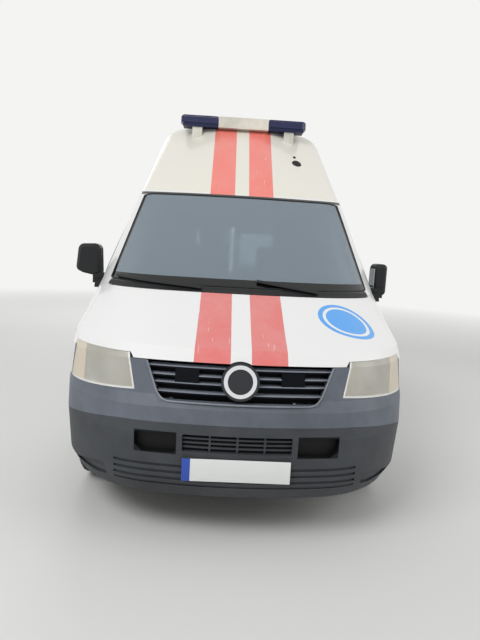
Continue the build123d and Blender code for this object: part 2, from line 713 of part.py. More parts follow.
# Rear axle: cross member on the rails, and an arm with a bearing for each wheel
axle_beam = slab(-rail_outer - 90, rail_outer + 90, 3960, 4100, 270, 350)
axle_beam += both_sides(slab(rail_inner, rail_outer, 3960, 4100, 300, rail_low - seat_gap))
trailing_line = [
    (3960, 262), (4100, 255), (rear_axle + 40, 290), (rear_axle + 40, 385), (4100, 360),
    (3960, 355),
]
axle_beam += both_sides(side_prism(trailing_line, rail_outer + 60, 648))
axle_beam += both_sides(drum((620, rear_axle, tyre_radius), (1, 0, 0), 48, 142))
axle_beam += both_sides(drum((585, 4190, 350), (0, 0, 1), 44, 160))
axle_beam -= both_sides(drum((600, rear_axle, tyre_radius), (1, 0, 0), 20.4, 300))
pieces["rear_axle"] = largest(axle_beam)

# Engine and gearbox as one plain block between the rails
engine = slab(-340, 300, 330, 770, 320, 860)
engine += slab(-rail_inner + seat_gap, rail_inner - seat_gap, 480, 560, 440, 500)
pieces["engine"] = engine

# Fuel tank and exhaust hang under the floor
tank = fillet(slab(40, 420, 2300, 3050, 280, 480).edges(), 30)
for place in (2400, 2900):
    tank += slab(80, 380, place, place + 40, 470, floor_low - seat_gap)
pieces["fuel_tank"] = largest(tank)
exhaust_height = 330
exhaust = drum((-250, 1080, exhaust_height), (0, 1, 0), 27, 3950 - 1140)
exhaust += fillet(slab(-370, -130, 3000, 3600, 260, 420).edges(), 45)
for place in (1300, 3290):
    exhaust += slab(-262, -238, place, place + 20, exhaust_height, floor_low - seat_gap)
pieces["exhaust"] = largest(exhaust)

# Road wheels: rim with hub and brake disc as one, tyre as another. Across: outwards is +X.
# Columns: radius, place across from the wheel's middle
rim_line = [
    (0, -78), (20, -78), (20, -30), (70, -30), (70, -22), (152, -22), (152, 2), (82, 2), (82, 46),
    (96, 52), (128, 66), (152, 62), (172, 40), (197, 30), (197, -70), (206, -78), (206, -90),
    (215, -90), (215, -84), (203, -74), (203, 74), (215, 84), (215, 90), (206, 90), (204, 80),
    (197, 74), (190, 46), (176, 48), (156, 72), (126, 74), (92, 60), (36, 60), (36, 74), (0, 74),
]
tyre_line = [
    (203.3, -73), (215.5, -83), (240, -99), (275, -102), (312, -96), (tyre_radius, -74),
    (tyre_radius, 74), (312, 96), (275, 102), (240, 99), (215.5, 83), (203.3, 73),
]
holes = 14


def spun(points):
    """A profile of (radius, across) turned about the wheel's axle, which is X."""
    turned_points = [(across, radius) for radius, across in points]
    return revolve(make_face(Polyline(*turned_points, close=True)), Axis.X)


rim = spun(rim_line)
vent = drum((20, 0, 160), (1, 0, 0), 11, 80)
for index in range(holes):
    rim -= Rot(360 / holes * index, 0, 0) * vent
tyre = spun(tyre_line)
# Columns: name, across, place along the length
wheel_table = [
    ("front_left", hub_x, front_axle), ("front_right", -hub_x, front_axle),
    ("rear_left", hub_x, rear_axle), ("rear_right", -hub_x, rear_axle),
]
for name, across, place in wheel_table:
    spot = Pos(across, place, tyre_radius)
    turned = spot * rim if across > 0 else spot * mirrored(rim)
    pieces["wheel_" + name] = turned
    pieces["tyre_" + name] = spot * tyre

os.makedirs("parts", exist_ok=True)
for name, shape in pieces.items():
    export_step(Pos(0, -overall_length / 2, 0) * shape, f"parts/{name}.step")
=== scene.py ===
import bpy
import bmesh
from math import atan2, cos, hypot, pi, radians, sin
from mathutils import Matrix, Vector
from mathutils.bvhtree import BVHTree


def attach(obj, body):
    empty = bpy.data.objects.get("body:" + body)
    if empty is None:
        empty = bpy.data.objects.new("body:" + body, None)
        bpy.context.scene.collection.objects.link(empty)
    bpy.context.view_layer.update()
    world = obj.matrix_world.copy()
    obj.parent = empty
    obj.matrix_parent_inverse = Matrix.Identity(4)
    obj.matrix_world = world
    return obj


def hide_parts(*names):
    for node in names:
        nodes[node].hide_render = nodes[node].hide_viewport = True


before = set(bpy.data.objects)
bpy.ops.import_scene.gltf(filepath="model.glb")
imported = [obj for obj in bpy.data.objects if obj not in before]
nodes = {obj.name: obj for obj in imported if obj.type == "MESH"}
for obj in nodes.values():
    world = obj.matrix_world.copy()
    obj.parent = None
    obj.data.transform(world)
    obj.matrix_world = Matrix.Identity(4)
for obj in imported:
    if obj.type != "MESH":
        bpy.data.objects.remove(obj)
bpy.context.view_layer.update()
scene = bpy.context.scene


# Helpers

def linear(hexColour):  # sRGB hex to the linear values that Blender's sockets take
    channels = [int(hexColour[i:i + 2], 16) / 255 for i in (1, 3, 5)]
    return tuple(c / 12.92 if c <= 0.04045 else ((c + 0.055) / 1.055) ** 2.4 for c in channels) + (1.0,)


def addNode(tree, kind, settings=None, links=None):  # names that are attributes are set, the rest are sockets
    made = tree.nodes.new(kind)
    for key, value in (settings or {}).items():
        if isinstance(key, str) and hasattr(made, key):
            setattr(made, key, value)
        else:
            made.inputs[key].default_value = value
    for socket, source in (links or {}).items():
        tree.links.new(source, made.inputs[socket])
    return made


def startMaterial(name, colour, roughness, metallic=0.0, ior=1.5):
    material = bpy.data.materials.new(name)
    material.use_nodes = True
    tree = material.node_tree
    shader = tree.nodes["Principled BSDF"]
    shader.inputs["Base Color"].default_value = linear(colour)
    shader.inputs["Roughness"].default_value = roughness
    shader.inputs["Metallic"].default_value = metallic
    shader.inputs["IOR"].default_value = ior
    return material, tree, shader


def between(tree, value, low, high):  # 1 where the value lies between two numbers, else 0
    above = addNode(tree, "ShaderNodeMath", {"operation": "GREATER_THAN", 1: low}, {0: value})
    below = addNode(tree, "ShaderNodeMath", {"operation": "LESS_THAN", 1: high}, {0: value})
    both = addNode(tree, "ShaderNodeMath", {"operation": "MULTIPLY"},
                   {0: above.outputs[0], 1: below.outputs[0]})
    return both.outputs[0]


def axes(tree, place):  # how far from the middle, how far along and how high
    split = addNode(tree, "ShaderNodeSeparateXYZ", None, {0: place.outputs["Object"]})
    across = addNode(tree, "ShaderNodeMath", {"operation": "ABSOLUTE"}, {0: split.outputs["X"]})
    return across.outputs[0], split.outputs["Y"], split.outputs["Z"]


def zoneMask(tree, across, up, zones):  # 1 inside any of the zones: (across from, across to, up from, up to)
    total = None
    for left, right, low, high in zones:
        inside = addNode(tree, "ShaderNodeMath", {"operation": "MULTIPLY"},
                         {0: between(tree, across, left, right), 1: between(tree, up, low, high)})
        if total:
            inside = addNode(tree, "ShaderNodeMath", {"operation": "MAXIMUM"},
                             {0: inside.outputs[0], 1: total})
        total = inside.outputs[0]
    return total


def patches(tree, place, noise, spread):
    # soft patches. Noise: scale, detail, roughness. Spread: noise from and to, and what the two ends give
    scale, detail, roughness = noise
    start, end, least, most = spread
    cloud = addNode(tree, "ShaderNodeTexNoise", {"Scale": scale, "Detail": detail, "Roughness": roughness},
                    {"Vector": place.outputs["Object"]})
    share = addNode(tree, "ShaderNodeMapRange",
                    {"From Min": start, "From Max": end, "To Min": least, "To Max": most},
                    {"Value": cloud.outputs[0]})
    return share.outputs[0]


def soil(tree, shader, place, colours, noise, spread):  # the second colour lies over the first in patches
    mixed = addNode(tree, "ShaderNodeMix",
                    {"data_type": "RGBA", 6: linear(colours[0]), 7: linear(colours[1])},
                    {0: patches(tree, place, noise, spread)})
    tree.links.new(mixed.outputs[2], shader.inputs["Base Color"])


def grain(tree, shader, scale, strength, distance, detail=2.0):  # fine relief from noise at a real size
    place = addNode(tree, "ShaderNodeTexCoord")
    noise = addNode(tree, "ShaderNodeTexNoise", {"Scale": scale, "Detail": detail},
                    {"Vector": place.outputs["Object"]})
    bump = addNode(tree, "ShaderNodeBump", {"Strength": strength, "Distance": distance},
                   {"Height": noise.outputs[0]})
    tree.links.new(bump.outputs[0], shader.inputs["Normal"])
    return place


def paint(material, *names):
    for name in names:
        nodes[name].data.materials.clear()
        nodes[name].data.materials.append(material)


def newObject(name, mesh, material):
    data = bpy.data.meshes.new(name)
    mesh.to_mesh(data)
    mesh.free()
    made = bpy.data.objects.new(name, data)
    scene.collection.objects.link(made)
    data.materials.append(material)
    return made


def newPiece(name, mesh, material, body, smooth=True):  # a finished bmesh becomes a piece that rides on a body
    piece = newObject(name, mesh, material)
    for face in piece.data.polygons:
        face.use_smooth = smooth
    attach(piece, body)
    return piece


def addBox(mesh, low, high):  # a plain box between two opposite corners
    verts = bmesh.ops.create_cube(mesh, size=1)["verts"]
    bmesh.ops.scale(mesh, vec=Vector(high) - Vector(low), verts=verts)
    bmesh.ops.translate(mesh, vec=(Vector(high) + Vector(low)) / 2, verts=verts)


def roundedBox(low, high, radius, segments=3):
    mesh = bmesh.new()
    addBox(mesh, low, high)
    bmesh.ops.bevel(mesh, geom=mesh.edges[:], offset=radius, segments=segments, profile=0.5,
                    affect="EDGES", material=-1)
    return mesh


def softenEdges(mesh, radius):  # a narrow bevel along every sharp edge
    sharp = [edge for edge in mesh.edges if edge.calc_face_angle(0) > 1]  # radian
    bmesh.ops.bevel(mesh, geom=sharp, offset=radius, segments=2, profile=0.5, affect="EDGES", material=-1)


# Camera

camera = {
    "place": (-0.110, -4.984, 1.445),
    "yaw": 2.18,      # degrees, towards the vehicle's left
    "pitch": -7.66,
    "roll": -3.17,
    "lens": 29.04,    # mm
    "frame": 36,      # mm along the picture's height
}


def makeCamera():
    lens = bpy.data.cameras.new("photoCamera")
    lens.lens = camera["lens"]
    lens.sensor_width = camera["frame"]
    lens.clip_start = 0.05
    holder = bpy.data.objects.new("photoCamera", lens)
    scene.collection.objects.link(holder)
    yaw, pitch, roll = (radians(camera[key]) for key in ("yaw", "pitch", "roll"))
    ahead = Vector((sin(yaw) * cos(pitch), cos(yaw) * cos(pitch), sin(pitch)))
    level = Vector((cos(yaw), -sin(yaw), 0))
    down = ahead.cross(level)
    right = cos(roll) * level + sin(roll) * down
    up = sin(roll) * level - cos(roll) * down
    turned = Matrix((right, up, -ahead)).transposed().to_4x4()
    holder.matrix_world = Matrix.Translation(camera["place"]) @ turned
    scene.camera = holder


makeCamera()
print("camera placed")


# Studio

studio = {
    "floor": "#DCDCDA",
    "floorSize": 60.0,
    "backdrop": "#F4F4F3",
    "fade": (4.5, 12.0),      # m from the middle, where the floor starts and ends to turn into backdrop
    "worldColour": "#FFFFFF",
    "worldStrength": 0.52,
    "lampSize": (4.0, 3.0),
    # name, place, aim, watts
    "lamps": [
        ("keyLamp", (-3.5, -6.0, 6.0), (0, -1.5, 1.0), 258),
        ("fillLamp", (5.5, -3.5, 3.5), (0, -0.5, 1.0), 100),
        ("rearLamp", (-2.0, 6.5, 5.0), (0, 1.5, 1.2), 170),
    ],
}


def areaLamp(name, place, target, power):
    light = bpy.data.lights.new(name, "AREA")
    light.shape = "RECTANGLE"
    light.size, light.size_y = studio["lampSize"]
    light.energy = power
    holder = bpy.data.objects.new(name, light)
    scene.collection.objects.link(holder)
    holder.location = place
    aim = (Vector(target) - Vector(place)).to_track_quat("-Z", "Y")
    holder.rotation_euler = aim.to_euler()


def directView(tree):  # 1 where the camera sees the studio, also in a reflection or through glass
    rays = addNode(tree, "ShaderNodeLightPath")
    through = addNode(tree, "ShaderNodeMath", {"operation": "MAXIMUM"},
                      {0: rays.outputs["Is Camera Ray"], 1: rays.outputs["Is Transmission Ray"]})
    seen = addNode(tree, "ShaderNodeMath", {"operation": "MAXIMUM"},
                   {0: through.outputs[0], 1: rays.outputs["Is Glossy Ray"]})
    return seen.outputs[0]


def makeFloor():  # plain matt floor that turns into the backdrop further out
    material, tree, shader = startMaterial("paleFloor", studio["floor"], 0.85)
    start, end = studio["fade"]
    place = addNode(tree, "ShaderNodeTexCoord")
    distance = addNode(tree, "ShaderNodeVectorMath", {"operation": "LENGTH"}, {0: place.outputs["Object"]})
    fade = addNode(tree, "ShaderNodeMapRange", {"From Min": start, "From Max": end},
                   {"Value": distance.outputs["Value"]})
    seen = addNode(tree, "ShaderNodeMath", {"operation": "MULTIPLY"},
                   {0: fade.outputs[0], 1: directView(tree)})
    bright = addNode(tree, "ShaderNodeEmission", {"Color": linear(studio["backdrop"]), "Strength": 1.0})
    mixed = addNode(tree, "ShaderNodeMixShader", None,
                    {0: seen.outputs[0], 1: shader.outputs[0], 2: bright.outputs[0]})
    tree.links.new(mixed.outputs[0], tree.nodes["Material Output"].inputs["Surface"])
    ground = bmesh.new()
    bmesh.ops.create_grid(ground, x_segments=1, y_segments=1, size=studio["floorSize"] / 2)
    floor = newObject("floor", ground, material)


def makeWorld():
    world = bpy.data.worlds.new("studioWorld")
    scene.world = world
    world.use_nodes = True
    tree = world.node_tree
    soft = tree.nodes["Background"]
    soft.inputs["Color"].default_value = linear(studio["worldColour"])
    soft.inputs["Strength"].default_value = studio["worldStrength"]
    plain = addNode(tree, "ShaderNodeBackground", {"Color": linear(studio["backdrop"]), "Strength": 1.0})
    mixed = addNode(tree, "ShaderNodeMixShader", None,
                    {0: directView(tree), 1: soft.outputs[0], 2: plain.outputs[0]})
    tree.links.new(mixed.outputs[0], tree.nodes["World Output"].inputs["Surface"])


makeFloor()
makeWorld()
for row in studio["lamps"]:
    areaLamp(*row)
scene.view_settings.view_transform = "Standard"
print("studio lit")


# Paint

paintWork = {
    "white": "#E8E9E8",
    "cream": "#E6E3D8",
    "grime": "#8F8A7E",
    "filmHeights": (0.95, 0.25),    # m up, where road film begins and where it is thickest
    "filmShare": 0.55,
    "bonnetStripe": "#DE6A66",
    "roofStripe": "#F0776B",
    "roofStripeRear": -0.43,        # m along, where the stripes on the roof end
    "shellStripeLow": 1.75,         # m up, so that the shell has them above the windscreen only
    "stripeInner": 0.051,           # m from the middle
    "stripeOuter": 0.229,
    "markBlue": "#419FEE",
    "markPlace": (0.592, -2.143),
    "markRadius": 0.160,
    "markStretch": 1.1,             # the bonnet slopes, so its length counts for more
    "ringRadius": 0.124,
    "ringWidth": 0.018,
    "bondBlack": "#151618",
    "bondRear": -1.0,               # m along, where the windscreen's bonded edge ends
    "bondZones": [(0.0, 0.815, 1.2190, 1.2270), (0.0, 0.735, 1.815, 1.836)],
}


def stripeShare(tree, place, spots, upper, rear, low):
    # plastic tape in two bands along the vehicle: bleached in patches and scratched through
    across, along, up = spots
    ahead = addNode(tree, "ShaderNodeMath", {"operation": "LESS_THAN", 1: rear}, {0: along})
    above = addNode(tree, "ShaderNodeMath", {"operation": "GREATER_THAN", 1: low}, {0: up})
    drawn = addNode(tree, "ShaderNodeMapping", {"Rotation": (0, 0, 0.25), "Scale": (150, 9, 9)},
                    {0: place.outputs["Object"]})  # scratches a few mm wide and some 100 mm long
    streaks = addNode(tree, "ShaderNodeTexNoise", {"Scale": 1.0, "Detail": 1.0}, {"Vector": drawn.outputs[0]})
    scratched = addNode(tree, "ShaderNodeMapRange",
                        {"From Min": 0.73, "From Max": 0.78, "To Min": 1.0, "To Max": 0.35},
                        {"Value": streaks.outputs[0]})
    bleached = patches(tree, place, (3.5, 6.0, 0.7), (0.3, 0.7, 0.86, 1.0))
    share = between(tree, across, paintWork["stripeInner"], paintWork["stripeOuter"])
    for factor in (ahead.outputs[0], above.outputs[0], upper, bleached, scratched.outputs[0]):
        share = addNode(tree, "ShaderNodeMath", {"operation": "MULTIPLY"}, {0: share, 1: factor}).outputs[0]
    return share


def markShare(tree, place, upper):  # the plain blue disc on the bonnet, with a white ring in it
    moved = addNode(tree, "ShaderNodeVectorMath",
                    {"operation": "SUBTRACT", 1: (*paintWork["markPlace"], 0)}, {0: place.outputs["Object"]})
    flat = addNode(tree, "ShaderNodeVectorMath",
                   {"operation": "MULTIPLY", 1: (1, paintWork["markStretch"], 0)}, {0: moved.outputs[0]})
    away = addNode(tree, "ShaderNodeVectorMath", {"operation": "LENGTH"}, {0: flat.outputs[0]})
    disc = addNode(tree, "ShaderNodeMath", {"operation": "LESS_THAN", 1: paintWork["markRadius"]},
                   {0: away.outputs["Value"]})
    ring = addNode(tree, "ShaderNodeMath",
                   {"operation": "COMPARE", 1: paintWork["ringRadius"], 2: paintWork["ringWidth"] / 2},
                   {0: away.outputs["Value"]})
    blue = addNode(tree, "ShaderNodeMath", {"operation": "SUBTRACT", "use_clamp": True},
                   {0: disc.outputs[0], 1: ring.outputs[0]})
    printed = addNode(tree, "ShaderNodeMath", {"operation": "MULTIPLY"}, {0: blue.outputs[0], 1: upper})
    return printed.outputs[0]


def bondShare(tree, spots):  # the bonded edge of the windscreen, on the front of the body only
    across, along, up = spots
    front = addNode(tree, "ShaderNodeMath", {"operation": "LESS_THAN", 1: paintWork["bondRear"]}, {0: along})
    bond = addNode(tree, "ShaderNodeMath", {"operation": "MULTIPLY"},
                   {0: front.outputs[0], 1: zoneMask(tree, across, up, paintWork["bondZones"])})
    return bond.outputs[0]


def whiteEnamel(name, colour, stripe=None, stripeRear=0.0, stripeLow=0.0, mark=False, bonded=False):
    # baked enamel under clear lacquer: even colour, soft mirror gloss, a little road film low down
    material, tree, shader = startMaterial(name, colour, 0.32)
    shader.inputs["Coat Weight"].default_value = 0.6
    shader.inputs["Coat Roughness"].default_value = 0.08
    place = grain(tree, shader, 90, 0.05, 0.001)  # orange peel about 11 mm apart
    spots = axes(tree, place)
    begins, thickest = paintWork["filmHeights"]
    low = addNode(tree, "ShaderNodeMapRange",
                  {"From Min": begins, "From Max": thickest, "To Max": paintWork["filmShare"]},
                  {"Value": spots[2]})
    dirt = addNode(tree, "ShaderNodeMath", {"operation": "MULTIPLY"},
                   {0: low.outputs[0], 1: patches(tree, place, (3.5, 6.0, 0.7), (0.35, 0.75, 0.0, 1.0))})
    result = addNode(tree, "ShaderNodeMix",
                     {"data_type": "RGBA", 6: linear(colour), 7: linear(paintWork["grime"])},
                     {0: dirt.outputs[0]})
    facing = addNode(tree, "ShaderNodeVectorMath", {"operation": "DOT_PRODUCT", 1: (0, -1, 1)},
                     {0: place.outputs["Normal"]})
    upper = addNode(tree, "ShaderNodeMath", {"operation": "GREATER_THAN", 1: 0.0},
                    {0: facing.outputs["Value"]})  # tape is on faces that look up or forwards
    layers = []
    if stripe:
        layers.append((stripeShare(tree, place, spots, upper.outputs[0], stripeRear, stripeLow), stripe))
    if mark:
        layers.append((markShare(tree, place, upper.outputs[0]), paintWork["markBlue"]))
    if bonded:
        layers.append((bondShare(tree, spots), paintWork["bondBlack"]))
    for share, tint in layers:
        result = addNode(tree, "ShaderNodeMix", {"data_type": "RGBA", 7: linear(tint)},
                         {0: share, 6: result.outputs[2]})
    tree.links.new(result.outputs[2], shader.inputs["Base Color"])
    return material


bodyEnamel = whiteEnamel("whiteEnamel", paintWork["white"])
shellEnamel = whiteEnamel("shellEnamel", paintWork["white"], paintWork["roofStripe"], paintWork["bondRear"],
                          paintWork["shellStripeLow"], bonded=True)
bonnetEnamel = whiteEnamel("stripedEnamel", paintWork["white"], paintWork["bonnetStripe"], mark=True)
roofGelcoat = whiteEnamel("creamGelcoat", paintWork["cream"], paintWork["roofStripe"],
                          paintWork["roofStripeRear"])
paint(shellEnamel, "body_shell")
paint(bodyEnamel, "front_wings", "front_door_left", "front_door_right", "sliding_door",
      "rear_door_left", "rear_door_right", "floor_pan")
paint(bonnetEnamel, "bonnet")
paint(roofGelcoat, "high_roof")
print("paint mixed")


# Plastics and metals

def mouldedPlastic(name, colour, roughness, grainScale, strength, zones=(), zoneColour="#000000", gloss=0.3):
    # injection-moulded polypropylene or ABS: dull sheen, fine pebble grain, sun-bleached in patches
    material, tree, shader = startMaterial(name, colour, roughness)
    shader.inputs["Specular IOR Level"].default_value = gloss  # below 0.5, because dust dulls the grain
    place = grain(tree, shader, grainScale, strength, 0.0008)
    result = addNode(tree, "ShaderNodeMix",
                     {"data_type": "RGBA", "blend_type": "MULTIPLY", 0: 1.0, 6: linear(colour)},
                     {7: patches(tree, place, (4.0, 6.0, 0.65), (0.3, 0.7, 0.78, 1.16))})
    if zones:
        across, along, up = axes(tree, place)
        result = addNode(tree, "ShaderNodeMix", {"data_type": "RGBA", 7: linear(zoneColour)},
                         {0: zoneMask(tree, across, up, zones), 6: result.outputs[2]})
    tree.links.new(result.outputs[2], shader.inputs["Base Color"])
    return material


slats = {
    "lightFrom": 0.0018,    # m above a slat's middle: the upper edge, lightened as a painted highlight where the top face catches light
    "lightTo": 0.0066,
    # m across from, across to and up. The lamp blocks interrupt the third slat
    "rows": [(0.0, 0.5, 0.753), (0.0, 0.5, 0.796), (0.0, 0.200, 0.832), (0.315, 0.5, 0.832),
             (0.0, 0.5, 0.872)],
}
slatHighlightBands = [(inner, outer, height + slats["lightFrom"], height + slats["lightTo"])
             for inner, outer, height in slats["rows"]]
signWings = [(0.2062, 0.6, 2.436, 2.53)]        # the light bar beside its pale sign
intakeShadeZones = [(0.291, 0.497, 0.466, 0.576)]    # painted shade: near-black stands for the shade inside the lower bumper's side intakes
plastics = {
    "bumperUpper": mouldedPlastic("greyPolypropylene", "#646A74", 0.5, 500, 0.12),
    # the side intakes' zone colour is painted shade, near-black where the recesses lie in shade
    "bumperLower": mouldedPlastic("darkPolypropylene", "#43464A", 0.6, 400, 0.2, intakeShadeZones, "#07080A"),
    "rearBumper": mouldedPlastic("rearPolypropylene", "#4B4E53", 0.6, 400, 0.2),
    "black": mouldedPlastic("blackAbs", "#1B1C1E", 0.5, 500, 0.12),
    # painted highlight: pale bands on the slats' upper edges stand for the light on their top faces
    "navy": mouldedPlastic("navyAbs", "#0A0C12", 0.62, 500, 0.1, slatHighlightBands, "#8A909B", 0.1),
    "trim": mouldedPlastic("greyTrimPolymer", "#8E9093", 0.6, 500, 0.1),
    "dash": mouldedPlastic("dashPolymer", "#2B2D31", 0.6, 600, 0.2),
    "sign": mouldedPlastic("creamPolycarbonate", "#DAD8CC", 0.35, 300, 0.03, signWings, "#171D40"),
    # painted highlight: the rim's bead is paler than the panel, standing for the light along the opening's
    # rounded edge
    "rim": mouldedPlastic("rimHighlightPolypropylene", "#868B94", 0.45, 500, 0.08),
    "chassis": mouldedPlastic("chassisEnamel", "#232324", 0.5, 120, 0.25),
    "rubber": mouldedPlastic("sealRubber", "#17181A", 0.65, 600, 0.1),
}
paint(plastics["bumperUpper"], "grille_panel")
paint(plastics["bumperLower"], "front_bumper")
paint(plastics["rearBumper"], "rear_bumper")
paint(plastics["black"], "cowl", "wipers", "mirror_left", "mirror_right", "roof_aerial")
paint(plastics["navy"], "grille")
paint(plastics["trim"], "bulkhead")
paint(plastics["dash"], "dashboard", "steering_wheel", "fuel_tank")
paint(plastics["sign"], "light_bar")
paint(plastics["chassis"], "front_subframe", "rear_axle", "underframe")


def metal(name, colour, roughness, scale, strength, dirt="#3B362F", reach=0.5):
    # bare or plated metal: the relief its making leaves, dulled by dirt in patches
    material, tree, shader = startMaterial(name, colour, roughness, 1.0)
    place = grain(tree, shader, scale, strength, 0.0006, 4.0)
    soil(tree, shader, place, (colour, dirt), (9.0, 5.0, 0.7), (0.42, 0.72, 0.0, reach))
    return material


badge = {
    "centre": (0.0, -2.588, 0.8237),
    "aim": (0.0, -0.9766, 0.2148),
    "faceRadius": 0.0605,
    "ringOuter": 0.0795,
    "black": "#1B1E24",
    "chrome": "#E4E6E8",
}


def badgeFinish():
    # chrome-plated ABS: a bright ring between a black centre and a black outer rim
    material, tree, shader = startMaterial("chromedAbs", "#D8DADC", 0.14, 1.0)
    place = grain(tree, shader, 120, 0.03, 0.0004)
    offset = addNode(tree, "ShaderNodeVectorMath", {"operation": "SUBTRACT", 1: badge["centre"]},
                     {0: place.outputs["Object"]})
    turned = addNode(tree, "ShaderNodeVectorMath", {"operation": "CROSS_PRODUCT", 1: badge["aim"]},
                     {0: offset.outputs[0]})
    away = addNode(tree, "ShaderNodeVectorMath", {"operation": "LENGTH"}, {0: turned.outputs[0]})
    bright = between(tree, away.outputs["Value"], badge["faceRadius"], badge["ringOuter"])
    colour = addNode(tree, "ShaderNodeMix",
                     {"data_type": "RGBA", 6: linear(badge["black"]), 7: linear(badge["chrome"])}, {0: bright})
    gloss = addNode(tree, "ShaderNodeMapRange", {"To Min": 0.35, "To Max": 0.12}, {"Value": bright})
    tree.links.new(colour.outputs[2], shader.inputs["Base Color"])
    tree.links.new(bright, shader.inputs["Metallic"])
    tree.links.new(gloss.outputs[0], shader.inputs["Roughness"])
    return material


metals = {
    "iron": metal("castIron", "#4B4A48", 0.62, 220, 0.4),
    "steel": metal("dullSteel", "#77736E", 0.5, 120, 0.25, "#5A4636", 0.8),
    "zinc": metal("zincPlate", "#9A9B98", 0.4, 300, 0.15),
    "wheel": metal("wheelLacquer", "#9DA1A4", 0.42, 150, 0.08),
    "reflector": metal("vapourAluminium", "#D6D6D2", 0.22, 45, 0.2, "#A7A59C", 0.5),
    "mirror": metal("silveredGlass", "#D9DEE0", 0.03, 30, 0.01, "#B8BDBE", 0.25),
}
paint(badgeFinish(), "grille_badge")
paint(metals["iron"], "engine", "knuckle_left", "knuckle_right")
paint(metals["steel"], "exhaust")
paint(metals["wheel"], "wheel_front_left", "wheel_front_right", "wheel_rear_left", "wheel_rear_right")
paint(metals["reflector"], "headlamp_housings")
print("plastics and metals mixed")


# Glass and lamp lenses

screen = {
    "tint": "#A7B7C3",
    "frit": "#101113",
    "clearness": 0.62,    # the rest is opaque and shows the pale tint
    "fritSide": 0.022,    # m of black enamel at the sides
    "fritLow": 0.045,
    "fritHigh": 0.008,
    "cornerX": 0.822,     # half width at the foot, where the edge stands at cornerZ
    "cornerZ": 1.236,
    "lean": 0.200,        # how far the side edges lean in for each metre of height
    "low": 1.226,
    "high": 1.822,
}


def windowGlass(name, colour):
    # toughened float glass: clear with a slight grey-green cast, and a little road dust
    material, tree, shader = startMaterial(name, colour, 0.03, 0.0, 1.45)
    shader.inputs["Transmission Weight"].default_value = 1.0
    place = addNode(tree, "ShaderNodeTexCoord")
    tree.links.new(patches(tree, place, (6.0, 8.0, 0.75), (0.4, 0.8, 0.02, 0.22)), shader.inputs["Roughness"])
    return material, tree, shader, place


def windscreenGlass():
    # laminated glass with a printed black enamel edge, wider at the foot
    material, tree, shader, place = windowGlass("screenGlass", screen["tint"])
    across, along, up = axes(tree, place)
    leaning = addNode(tree, "ShaderNodeMath", {"operation": "MULTIPLY_ADD", 1: screen["lean"]},
                      {0: up, 2: across})
    edge = screen["cornerX"] + screen["lean"] * screen["cornerZ"] - screen["fritSide"]
    side = addNode(tree, "ShaderNodeMath", {"operation": "LESS_THAN", 1: edge}, {0: leaning.outputs[0]})
    height = between(tree, up, screen["low"] + screen["fritLow"], screen["high"] - screen["fritHigh"])
    clear = addNode(tree, "ShaderNodeMath", {"operation": "MULTIPLY"}, {0: side.outputs[0], 1: height})
    colour = addNode(tree, "ShaderNodeMix",
                     {"data_type": "RGBA", 6: linear(screen["frit"]), 7: linear(screen["tint"])},
                     {0: clear.outputs[0]})
    seeThrough = addNode(tree, "ShaderNodeMath", {"operation": "MULTIPLY", 1: screen["clearness"]},
                         {0: clear.outputs[0]})
    tree.links.new(colour.outputs[2], shader.inputs["Base Color"])
    tree.links.new(seeThrough.outputs[0], shader.inputs["Transmission Weight"])
    return material


sideGlass = windowGlass("sideGlass", "#9FACB0")[0]
paint(windscreenGlass(), "windscreen")
paint(sideGlass, "front_door_left_glass", "front_door_right_glass", "side_windows",
      "rear_door_left_glass", "rear_door_right_glass")

lamp = {
    "haze": "#DDD9CC",
    "clear": "#F4F3EC",
    "indicator": "#F0E4D0",
    "rim": "#FBFAF6",
    "split": 0.795,       # m across, where the indicator begins
    "ribScale": 45,       # ribs 7 mm apart
    # upright edge and lower edge of the lens, each as a direction and how far the edge lies that way, in m
    "edges": [((0.975, 0, -0.223), 0.3264), ((0.061, 0, 0.998), 0.7866)],
    "edgeWidth": 0.009,
    "clearness": (0.68, 0.3),    # of the lens, and of its rim and the indicator
}


